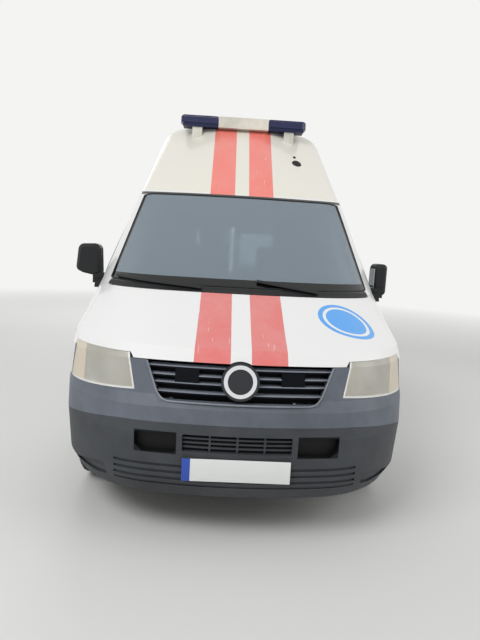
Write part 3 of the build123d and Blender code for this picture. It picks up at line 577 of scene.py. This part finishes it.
def headlampLens():
    # moulded polycarbonate, yellowed and hazed by the sun, ribbed over the indicator
    material, tree, shader = startMaterial("hazedPolycarbonate", lamp["haze"], 0.3, 0.0, 1.58)
    place = addNode(tree, "ShaderNodeTexCoord")
    across, along, up = axes(tree, place)
    outer = between(tree, across, lamp["split"], 1.0)
    spread = addNode(tree, "ShaderNodeCombineXYZ", None, {0: across, 2: up})
    rim = None
    for direction, distance in lamp["edges"]:
        inward = addNode(tree, "ShaderNodeVectorMath", {"operation": "DOT_PRODUCT", 1: direction},
                         {0: spread.outputs[0]})
        near = addNode(tree, "ShaderNodeMath", {"operation": "LESS_THAN", 1: distance + lamp["edgeWidth"]},
                       {0: inward.outputs["Value"]})
        if rim:
            near = addNode(tree, "ShaderNodeMath", {"operation": "MAXIMUM"}, {0: near.outputs[0], 1: rim})
        rim = near.outputs[0]
    body = addNode(tree, "ShaderNodeMix",
                   {"data_type": "RGBA", 6: linear(lamp["haze"]), 7: linear(lamp["clear"])},
                   {0: patches(tree, place, (5.0, 5.0, 0.5), (0.3, 0.7, 0.0, 1.0))})
    warm = addNode(tree, "ShaderNodeMix", {"data_type": "RGBA", 7: linear(lamp["indicator"])},
                   {0: outer, 6: body.outputs[2]})
    edged = addNode(tree, "ShaderNodeMix", {"data_type": "RGBA", 7: linear(lamp["rim"])},
                    {0: rim, 6: warm.outputs[2]})
    solid = addNode(tree, "ShaderNodeMath", {"operation": "MAXIMUM"}, {0: rim, 1: outer})
    pane, edging = lamp["clearness"]
    seeThrough = addNode(tree, "ShaderNodeMapRange", {"To Min": pane, "To Max": edging},
                         {"Value": solid.outputs[0]})
    ribs = addNode(tree, "ShaderNodeTexWave", {"Scale": lamp["ribScale"]}, {"Vector": place.outputs["Object"]})
    relief = addNode(tree, "ShaderNodeMath", {"operation": "MULTIPLY"}, {0: ribs.outputs[1], 1: outer})
    bump = addNode(tree, "ShaderNodeBump", {"Strength": 0.5, "Distance": 0.002}, {"Height": relief.outputs[0]})
    tree.links.new(seeThrough.outputs[0], shader.inputs["Transmission Weight"])
    tree.links.new(edged.outputs[2], shader.inputs["Base Color"])
    tree.links.new(bump.outputs[0], shader.inputs["Normal"])
    return material


def ribbedAcrylic(name, colour, clearness, scale, bands=()):
    # moulded acrylic lamp cover: clean gloss outside, upright ribs. Bands: (height from, height to, colour)
    material, tree, shader = startMaterial(name, colour, 0.16, 0.0, 1.49)
    shader.inputs["Transmission Weight"].default_value = clearness
    place = addNode(tree, "ShaderNodeTexCoord")
    across, along, up = axes(tree, place)
    ribs = addNode(tree, "ShaderNodeTexWave", {"Scale": scale}, {"Vector": place.outputs["Object"]})
    bump = addNode(tree, "ShaderNodeBump", {"Strength": 0.35, "Distance": 0.002}, {"Height": ribs.outputs[1]})
    tree.links.new(bump.outputs[0], shader.inputs["Normal"])
    result = addNode(tree, "ShaderNodeMix",
                     {"data_type": "RGBA", "blend_type": "MULTIPLY", 0: 1.0, 6: linear(colour)},
                     {7: patches(tree, place, (12.0, 3.0, 0.5), (0.3, 0.7, 0.85, 1.1))})
    for low, high, tint in bands:
        result = addNode(tree, "ShaderNodeMix", {"data_type": "RGBA", 7: linear(tint)},
                         {0: between(tree, up, low, high), 6: result.outputs[2]})
    tree.links.new(result.outputs[2], shader.inputs["Base Color"])
    return material


# m up from, up to, colour: indicator, reversing lamp, and the dark seams beside them
tailBands = [
    (1.050, 1.200, "#C8641C"), (0.930, 0.942, "#3A1412"), (0.820, 0.930, "#D8D2CC"), (1.040, 1.050, "#3A1412"),
]
tailLens = ribbedAcrylic("redAcrylic", "#8E1614", 0.15, 40, tailBands)
beaconLens = ribbedAcrylic("blueAcrylic", "#151D4E", 0.15, 36)
brakeLens = ribbedAcrylic("brakeAcrylic", "#8E1614", 0.15, 40)
repeaterLens = ribbedAcrylic("amberAcrylic", "#D9791E", 0.2, 60)
paint(headlampLens(), "headlamp_lenses")
paint(tailLens, "tail_lamps")
paint(beaconLens, "light_bar_domes")
print("glass and lenses mixed")


# Number plate on its seat, left blank

plate = {
    "half": 0.260,
    "low": 0.3455,
    "high": 0.4565,
    "front": -2.6455,
    "back": -2.6425,
    "edge": 0.001,
    "band": 0.040,
    "white": "#E4E6E4",
    "blue": "#2C4FB0",
}


def makePlate():
    # pressed acrylic sheet: even white with a soft gloss, and a plain blue band at one end
    material, tree, shader = startMaterial("plateAcrylic", plate["white"], 0.3)
    place = addNode(tree, "ShaderNodeTexCoord")
    split = addNode(tree, "ShaderNodeSeparateXYZ", None, {0: place.outputs["Object"]})
    ends = addNode(tree, "ShaderNodeMath", {"operation": "LESS_THAN", 1: plate["band"] - plate["half"]},
                   {0: split.outputs["X"]})
    mixed = addNode(tree, "ShaderNodeMix",
                    {"data_type": "RGBA", 6: linear(plate["white"]), 7: linear(plate["blue"])},
                    {0: ends.outputs[0]})
    tree.links.new(mixed.outputs[2], shader.inputs["Base Color"])
    mesh = roundedBox((-plate["half"], plate["front"], plate["low"]),
                      (plate["half"], plate["back"], plate["high"]), plate["edge"])
    piece = newPiece("numberPlate", mesh, material, "root")


makePlate()
print("plate fitted")


# Tyres with tread, wheel bolts and centre caps

tyre = {
    "steps": 144,
    "treadFrom": 0.334,     # m from the axle
    "grooveDepth": 0.005,
    "grooveEdge": 0.0016,
    # cross grooves of the shoulder and of the rib: m across from, across to, and every how many steps
    "grooves": [(0.056, 0.074, 3), (0.020, 0.036, 4)],
    # radius and place across of half the section, from the bead outwards
    "section": [
        (0.2033, 0.0730), (0.2155, 0.0830), (0.2180, 0.0905), (0.2400, 0.0990), (0.2500, 0.1000),
        (0.2520, 0.1012), (0.2760, 0.1020), (0.2780, 0.1004), (0.3000, 0.0985), (0.3180, 0.0925),
        (0.3290, 0.0840), (0.3345, 0.0740), (0.3358, 0.0560), (0.3362, 0.0450), (0.3300, 0.0435),
        (0.3300, 0.0375), (0.3363, 0.0360), (0.3365, 0.0200), (0.3365, 0.0045), (0.3300, 0.0033),
    ],
    "black": "#222223",
    "dust": "#6A6257",
}
wheel = {
    "across": 0.814,
    "radius": 0.3365,
    "bolts": 5,
    "boltCircle": 0.058,
    # radius, taper, m outwards from the wheel's middle from and to, sides
    "bolt": (0.0095, 0.86, 0.057, 0.0715, 6),
    "cap": (0.034, 0.9, 0.0735, 0.0775, 48),
    # name, side, m along
    "places": [
        ("front_left", 1, -1.751), ("front_right", -1, -1.751), ("rear_left", 1, 1.649),
        ("rear_right", -1, 1.649),
    ],
}


def tyreRubber():
    # vulcanised rubber: matt black, browned by dust on the shoulders
    material, tree, shader = startMaterial("tyreRubber", tyre["black"], 0.78)
    place = grain(tree, shader, 260, 0.25, 0.0008, 3.0)
    soil(tree, shader, place, (tyre["black"], tyre["dust"]), (11.0, 6.0, 0.7), (0.4, 0.75, 0.0, 0.45))
    return material


def treadFaces(mesh, inner, outer, every):
    turn = 2 * pi / tyre["steps"]
    chosen = []
    for face in mesh.faces:
        middle = face.calc_center_median()
        index = int((atan2(middle.z, middle.y) % (2 * pi)) / turn)
        onTread = inner < abs(middle.x) < outer and hypot(middle.y, middle.z) > tyre["treadFrom"]
        if onTread and index % every == 0:
            chosen.append(face)
    return chosen


def makeTyre(name, side, along, rubber):
    mesh = bmesh.new()
    half = tyre["section"]
    section = half + [(radius, -across) for radius, across in reversed(half)]
    ring = [mesh.verts.new((across, 0, radius)) for radius, across in section]
    edges = [mesh.edges.new((ring[index - 1], ring[index])) for index in range(len(ring))]
    bmesh.ops.spin(mesh, geom=ring + edges, cent=(0, 0, 0), axis=(1, 0, 0), angle=2 * pi,
                   steps=tyre["steps"], use_merge=True)
    bmesh.ops.recalc_face_normals(mesh, faces=mesh.faces)
    for row in tyre["grooves"]:
        bmesh.ops.inset_individual(mesh, faces=treadFaces(mesh, *row), thickness=tyre["grooveEdge"],
                                   depth=-tyre["grooveDepth"])
    bmesh.ops.translate(mesh, vec=(side * wheel["across"], along, wheel["radius"]), verts=mesh.verts)
    piece = newPiece("tread_" + name, mesh, rubber, "wheel_" + name, smooth=False)
    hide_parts("tyre_" + name)


def makeWheelTrim(name, side, along):
    mesh = bmesh.new()
    circle = wheel["boltCircle"]
    angles = [2 * pi * index / wheel["bolts"] for index in range(wheel["bolts"])]
    studs = [(sin(angle) * circle, cos(angle) * circle, wheel["bolt"]) for angle in angles]
    for ahead, up, (radius, taper, start, end, sides) in studs + [(0, 0, wheel["cap"])]:
        made = bmesh.ops.create_cone(mesh, cap_ends=True, segments=sides, radius1=radius,
                                     radius2=radius * taper, depth=end - start)
        outwards = Matrix.Translation(((start + end) / 2, ahead, up)) @ Matrix.Rotation(pi / 2, 4, "Y")
        bmesh.ops.transform(mesh, matrix=outwards, verts=made["verts"])
    if side < 0:
        bmesh.ops.scale(mesh, vec=(-1, 1, 1), verts=mesh.verts)
    bmesh.ops.recalc_face_normals(mesh, faces=mesh.faces)
    bmesh.ops.translate(mesh, vec=(side * wheel["across"], along, wheel["radius"]), verts=mesh.verts)
    piece = newPiece("bolts_" + name, mesh, metals["zinc"], "wheel_" + name, smooth=False)


rubber = tyreRubber()
for name, side, along in wheel["places"]:
    makeTyre(name, side, along, rubber)
    makeWheelTrim(name, side, along)
print("wheels shod")


# Rubber seals round the panes

seal = {
    "width": 0.016,
    "screenWidth": 0.010,
    "rise": 0.003,
    "facing": 0.6,       # how squarely a pane's face has to look outwards
    "bend": 0.5,         # radians that neighbouring faces of one skin may turn
}


def outerSkin(mesh, direction):  # the largest face that looks that way, and all that join it smoothly
    seed = max((face for face in mesh.faces if face.normal.dot(direction) > seal["facing"]),
               key=lambda face: face.calc_area())
    skin = {seed}
    waiting = [seed]
    while waiting:
        face = waiting.pop()
        for other in {near for edge in face.edges for near in edge.link_faces} - skin:
            if face.normal.angle(other.normal, 0) < seal["bend"]:
                skin.add(other)
                waiting.append(other)
    return list(skin)


def makeSeal(name, source, direction, width, body):
    direction = Vector(direction).normalized()
    mesh = bmesh.new()
    mesh.from_mesh(nodes[source].data)
    bmesh.ops.remove_doubles(mesh, verts=mesh.verts, dist=0.0002)
    bmesh.ops.dissolve_degenerate(mesh, edges=mesh.edges, dist=0.0001)
    kept = set(bmesh.ops.inset_region(mesh, faces=outerSkin(mesh, direction), thickness=width,
                                      use_boundary=True, use_even_offset=True)["faces"])
    bmesh.ops.delete(mesh, geom=[face for face in mesh.faces if face not in kept], context="FACES")
    raised = bmesh.ops.extrude_face_region(mesh, geom=mesh.faces[:], use_keep_orig=True)["geom"]
    points = [item for item in raised if isinstance(item, bmesh.types.BMVert)]
    bmesh.ops.translate(mesh, vec=direction * seal["rise"], verts=points)
    bmesh.ops.recalc_face_normals(mesh, faces=mesh.faces)
    piece = newPiece(name, mesh, plastics["rubber"], body, smooth=False)


# Columns: name, glass, which way it looks, width, body
sealTable = [
    ("sealFrontDoorLeft", "front_door_left_glass", (1, 0, 0.25), seal["width"], "front_door_left"),
    ("sealFrontDoorRight", "front_door_right_glass", (-1, 0, 0.25), seal["width"], "front_door_right"),
    ("sealSideLeft", "side_windows", (1, 0, 0.25), seal["width"], "root"),
    ("sealSideRight", "side_windows", (-1, 0, 0.25), seal["width"], "root"),
    ("sealRearDoorLeft", "rear_door_left_glass", (0, 1, 0.1), seal["width"], "rear_door_left"),
    ("sealRearDoorRight", "rear_door_right_glass", (0, 1, 0.1), seal["width"], "rear_door_right"),
    ("sealWindscreen", "windscreen", (0, -0.62, 0.78), seal["screenWidth"], "root"),
]
for row in sealTable:
    makeSeal(*row)
print("panes sealed")


# Seats: crowned cushions with sewn channels, on closed boxes

seatCloth = {
    "colour": "#33363D",
    "fleck": "#4A4E58",
    "threadScale": 420,     # threads drawn 2.4 mm apart, coarser than real so that they show
}
cushion = {
    "cuts": 30,
    "roundness": 0.62,      # edge radius as a share of the thinnest half
    "waist": 0.008,         # m that each side draws in at half length
    "channelDepth": 0.006,
    "channelWidth": 0.010,
    # depth, height, m along, m up, lean in degrees, crown in m, side that is sat on or leant on
    "seat": (0.460, 0.120, -0.822, 0.912, -3, 0.014, "Z"),
    "backrest": (0.092, 0.575, -0.497, 1.195, -9.5, 0.012, "Y"),
    "headRest": (0.068, 0.195, -0.4475, 1.582, -4, 0.006, "Y"),
    "headRestWidth": 0.206,
    "backrestInset": 0.02,  # m that the backrest is narrower than the seat
}
seatBox = {
    "along": (-0.975, -0.600),
    "up": (0.5605, 0.852),
    "inset": 0.04,
    "edge": 0.015,
}


def wovenPolyester():
    # woven polyester: matt, a light fleck between dark threads, soft sheen at grazing angles
    material, tree, shader = startMaterial("wovenPolyester", seatCloth["colour"], 0.92)
    shader.inputs["Sheen Weight"].default_value = 0.25
    place = addNode(tree, "ShaderNodeTexCoord")
    threads = addNode(tree, "ShaderNodeTexVoronoi", {"Scale": seatCloth["threadScale"]},
                      {"Vector": place.outputs["Object"]})
    bump = addNode(tree, "ShaderNodeBump", {"Strength": 0.5, "Distance": 0.001},
                   {"Height": threads.outputs[0]})
    tree.links.new(bump.outputs[0], shader.inputs["Normal"])
    colours = seatCloth["colour"], seatCloth["fleck"]
    soil(tree, shader, place, colours, (160.0, 3.0, 0.5), (0.5, 0.7, 0.0, 0.8))
    return material


def makeCushion(name, kind, width, middle, channels=()):  # channels are places across, 0 in the middle
    depth, height, along, up, lean, crown, face = cushion[kind]
    half = Vector((width, depth, height)) / 2
    radius = min(half) * cushion["roundness"]
    mesh = bmesh.new()
    bmesh.ops.create_cube(mesh, size=2)
    bmesh.ops.subdivide_edges(mesh, edges=mesh.edges[:], cuts=cushion["cuts"], use_grid_fill=True)
    for vert in mesh.verts:
        unit = vert.co.copy()
        point = Vector(unit[axis] * half[axis] for axis in range(3))
        core = Vector(max(-half[axis] + radius, min(half[axis] - radius, point[axis])) for axis in range(3))
        point = core + (point - core).normalized() * radius
        length = unit.y if face == "Z" else unit.z
        swell = (1 - unit.x ** 2) * (1 - length ** 2)
        groove = sum(((1 - length ** 2) ** 0.3) * cushion["channelDepth"]
                     * max(0, 1 - (abs(point.x - spot) / cushion["channelWidth"]) ** 2) for spot in channels)
        if face == "Z":
            point.z += (crown * swell - groove) * max(unit.z, 0)
        else:
            point.y -= (crown * swell - groove) * max(-unit.y, 0)
        point.x -= unit.x * cushion["waist"] * (1 - length ** 2)
        vert.co = point
    bmesh.ops.rotate(mesh, cent=(0, 0, 0), matrix=Matrix.Rotation(radians(lean), 3, "X"), verts=mesh.verts)
    bmesh.ops.translate(mesh, vec=(middle, along, up), verts=mesh.verts)
    piece = newPiece(name, mesh, seatFabric, "root")
    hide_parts("seats")


def makeSeatBox(name, left, right):
    (front, rear), (low, high) = seatBox["along"], seatBox["up"]
    mesh = roundedBox((left, front, low), (right, rear, high), seatBox["edge"])
    piece = newPiece(name, mesh, plastics["dash"], "root", smooth=False)
    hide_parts("seats")


seatFabric = wovenPolyester()
# Columns: name, middle, width, head rests, sewn channels
seatTable = [
    ("Driver", 0.410, 0.500, (0.410,), (-0.150, 0.150)),
    ("Double", -0.3875, 0.680, (-0.540, -0.225), (-0.235, -0.110, 0.0, 0.110, 0.235)),
]
for name, middle, width, rests, channels in seatTable:
    makeCushion("cushion" + name, "seat", width, middle, channels)
    makeCushion("backrest" + name, "backrest", width - cushion["backrestInset"], middle, channels)
    for index, spot in enumerate(rests):
        makeCushion(f"headRest{name}{index}", "headRest", cushion["headRestWidth"], spot)
    half = width / 2 - seatBox["inset"]
    makeSeatBox("seatBox" + name, middle - half, middle + half)
print("seats upholstered")


# Small fittings: mirror glasses, sliding-door rail, repeaters, upper brake lamp, hinges

# Columns: name, low corner, high corner, edge radius, material, slot, body
fittingTable = [
    ("mirrorGlassRight", (-1.078, -1.3560, 1.262), (-0.957, -1.3530, 1.420), 0.001, metals["mirror"],
     "window_glass", "front_door_right"),
    ("mirrorGlassLeft", (0.9475, -1.392, 1.222), (0.9505, -1.268, 1.370), 0.001, metals["mirror"],
     "window_glass", "front_door_left"),
    ("slideRail", (-0.9405, 0.712, 1.007), (-0.9310, 1.808, 1.025), 0.002, metals["steel"],
     "bare_steel", "root"),
    ("repeaterLeft", (0.9450, -1.625, 0.800), (0.9560, -1.562, 0.826), 0.004, repeaterLens,
     "lamp_lens", "root"),
    ("repeaterRight", (-0.9560, -1.625, 0.800), (-0.9450, -1.562, 0.826), 0.004, repeaterLens,
     "lamp_lens", "root"),
    ("brakeLampHigh", (-0.160, 2.462, 2.216), (0.160, 2.489, 2.246), 0.004, brakeLens,
     "tail_lens", "root"),
]
for name, low, high, radius, material, slotName, body in fittingTable:
    piece = newPiece(name, roundedBox(low, high, radius, 2), material, body, smooth=False)

hinge = {
    "heights": (0.700, 1.130, 1.640),
    "across": 0.773,
    "along": 2.596,       # at the middle height
    "middle": 1.205,
    "lean": 0.0495,
    "radius": 0.011,
    "length": 0.090,
    "edge": 0.002,
}


def makeHinges():
    mesh = bmesh.new()
    for side in (-1, 1):
        for height in hinge["heights"]:
            made = bmesh.ops.create_cone(mesh, cap_ends=True, segments=20, radius1=hinge["radius"],
                                         radius2=hinge["radius"], depth=hinge["length"])
            along = hinge["along"] - hinge["lean"] * (height - hinge["middle"])
            bmesh.ops.translate(mesh, vec=(side * hinge["across"], along, height), verts=made["verts"])
    softenEdges(mesh, hinge["edge"])
    piece = newPiece("rearDoorHinges", mesh, bodyEnamel, "root")


makeHinges()


# Rounded surround of the grille

surround = {
    "top": (-0.455, 0.897),       # m across and up, the opening's left half from the top to the middle
    "corner": (-0.384, 0.718),
    "cut": 0.055,                 # how far the rounding reaches along both edges
    "flankSteps": 4,
    "arcSteps": 10,
    "footSteps": 8,
    "radius": 0.0045,             # of the rim's bead
    "proud": 0.0005,
    "fillDepth": 0.008,
    "sample": (0.470, 0.500),     # two places beside the opening that give the panel's bow
    "footSlack": 0.001,
    "sampleTop": 0.890,           # the panel ends above this
    "rayStart": -3.0,             # m along, in front of the vehicle
}


def panelDepth(panel, across, height):  # how far forward the panel lies, its bow carried on over the opening
    def hit(x):
        return panel.ray_cast(Vector((x, surround["rayStart"], height)), Vector((0, 1, 0)))[0].y
    if height < surround["corner"][1] - surround["footSlack"]:
        return hit(across)
    near, far = surround["sample"]
    bow = (hit(-far) - hit(-near)) / (far ** 2 - near ** 2)
    return hit(-near) + bow * (across ** 2 - near ** 2)


def roundedCorner(corner, upper, lower):  # points of a curve from the upper edge to the lower one
    steps = surround["arcSteps"]
    return [upper.lerp(corner, step / steps).lerp(corner.lerp(lower, step / steps), step / steps)
            for step in range(steps + 1)]


def makeRim(panel, outline):
    bead = bpy.data.curves.new("grilleRim", "CURVE")
    bead.dimensions = "3D"
    bead.bevel_depth = surround["radius"]
    bead.bevel_resolution = 3
    bead.use_fill_caps = True
    line = bead.splines.new("POLY")
    line.points.add(len(outline) - 1)
    for point, place in zip(line.points, outline):
        depth = panelDepth(panel, place.x, min(place.y, surround["sampleTop"])) - surround["proud"]
        point.co = (place.x, depth, place.y, 1)
    holder = bpy.data.objects.new("grilleRimCurve", bead)
    mesh = bmesh.new()
    mesh.from_mesh(holder.to_mesh())
    holder.to_mesh_clear()
    bpy.data.objects.remove(holder)
    # the bead's paler finish is a painted highlight along the opening's edge
    piece = newPiece("grilleRim", mesh, plastics["rim"], "root")


def makeCorners(panel, loop):  # fills the opening's square corners up to the rounding
    mesh = bmesh.new()
    points = [(place.x, panelDepth(panel, place.x, place.y) - surround["proud"], place.y) for place in loop]
    for side in (1, -1):
        verts = [mesh.verts.new((side * x, y, z)) for x, y, z in points]
        made = bmesh.ops.extrude_face_region(mesh, geom=[mesh.faces.new(verts)])
        moved = [item for item in made["geom"] if isinstance(item, bmesh.types.BMVert)]
        bmesh.ops.translate(mesh, vec=(0, surround["fillDepth"], 0), verts=moved)
    bmesh.ops.recalc_face_normals(mesh, faces=mesh.faces[:])
    piece = newPiece("grilleCorners", mesh, plastics["bumperUpper"], "root", False)


def makeSurround():
    panel = BVHTree.FromObject(nodes["grille_panel"], bpy.context.evaluated_depsgraph_get())
    top, corner = Vector(surround["top"]), Vector(surround["corner"])
    upper = corner + (top - corner).normalized() * surround["cut"]
    lower = corner + Vector((surround["cut"], 0))
    arc = roundedCorner(corner, upper, lower)
    flankSteps, footSteps = surround["flankSteps"], surround["footSteps"]
    flank = [top.lerp(upper, step / flankSteps) for step in range(flankSteps)]
    foot = [lower.lerp(Vector((0, lower.y)), step / footSteps) for step in range(1, footSteps + 1)]
    half = flank + arc + foot
    makeRim(panel, half + [Vector((-point.x, point.y)) for point in reversed(half[:-1])])
    makeCorners(panel, [corner] + arc)


# Low aerial bases on the roof

# Columns: name, m across, m along, radius, height
aerialTable = [
    ("aerialBase", 0.431, -0.765, 0.038, 0.017),
    ("aerialStud", 0.418, -0.700, 0.012, 0.010),
]
aboveRoof = 3.0    # m up, where the rays that find the roof start


def makeAerial():
    roof = BVHTree.FromObject(nodes["high_roof"], bpy.context.evaluated_depsgraph_get())
    for name, across, along, radius, height in aerialTable:
        seat, normal = roof.ray_cast(Vector((across, along, aboveRoof)), Vector((0, 0, -1)))[:2]
        mesh = bmesh.new()
        bmesh.ops.create_uvsphere(mesh, u_segments=32, v_segments=16, radius=radius)
        bmesh.ops.scale(mesh, vec=(1, 1, height / radius), verts=mesh.verts)
        turned = normal.to_track_quat("Z", "Y").to_matrix().to_4x4()
        bmesh.ops.transform(mesh, matrix=Matrix.Translation(seat) @ turned, verts=mesh.verts)
        piece = newPiece(name, mesh, plastics["black"], "root")
        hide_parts("roof_aerial")


# Moulded step wells that close the floor inside the front doors and the sliding door

stepWell = {
    "inner": 0.552,              # m across, under the floor's edge
    "outer": 0.866,              # at the sill
    "low": 0.3185,
    "high": 0.520,
    "wall": 0.006,
    "edge": 0.0015,
    "ribs": 6,
    "ribPitch": 0.040,
    "ribSize": (0.006, 0.004),   # width and height of the tread's ribs
    "ribEnd": 0.045,
}
# Columns: name, side, m along from, m along to
stepTable = [
    ("stepWellLeft", 1, -1.357, -0.419),
    ("stepWellRight", -1, -1.357, -0.419),
    ("stepWellSlider", -1, -0.385, 0.700),
]


def makeSteps():
    inner, outer, low, high = (stepWell[key] for key in ("inner", "outer", "low", "high"))
    width, height = stepWell["ribSize"]
    floor = low + stepWell["wall"]
    for name, side, front, rear in stepTable:
        mesh = bmesh.new()
        addBox(mesh, (inner, front, low), (outer, rear, high))
        openSides = [face for face in mesh.faces if max(face.normal.x, face.normal.z) > 0.5]
        bmesh.ops.delete(mesh, geom=openSides, context="FACES")
        bmesh.ops.solidify(mesh, geom=mesh.faces[:], thickness=stepWell["wall"])
        for rib in range(stepWell["ribs"]):
            across = (inner + outer) / 2 + (rib - (stepWell["ribs"] - 1) / 2) * stepWell["ribPitch"]
            addBox(mesh, (across - width / 2, front + stepWell["ribEnd"], floor - height),
                   (across + width / 2, rear - stepWell["ribEnd"], floor + height))
        bmesh.ops.scale(mesh, vec=(side, 1, 1), verts=mesh.verts)
        bmesh.ops.recalc_face_normals(mesh, faces=mesh.faces[:])
        softenEdges(mesh, stepWell["edge"])
        piece = newPiece(name, mesh, plastics["black"], "root", False)


makeSurround()
makeAerial()
makeSteps()
print("fittings added")
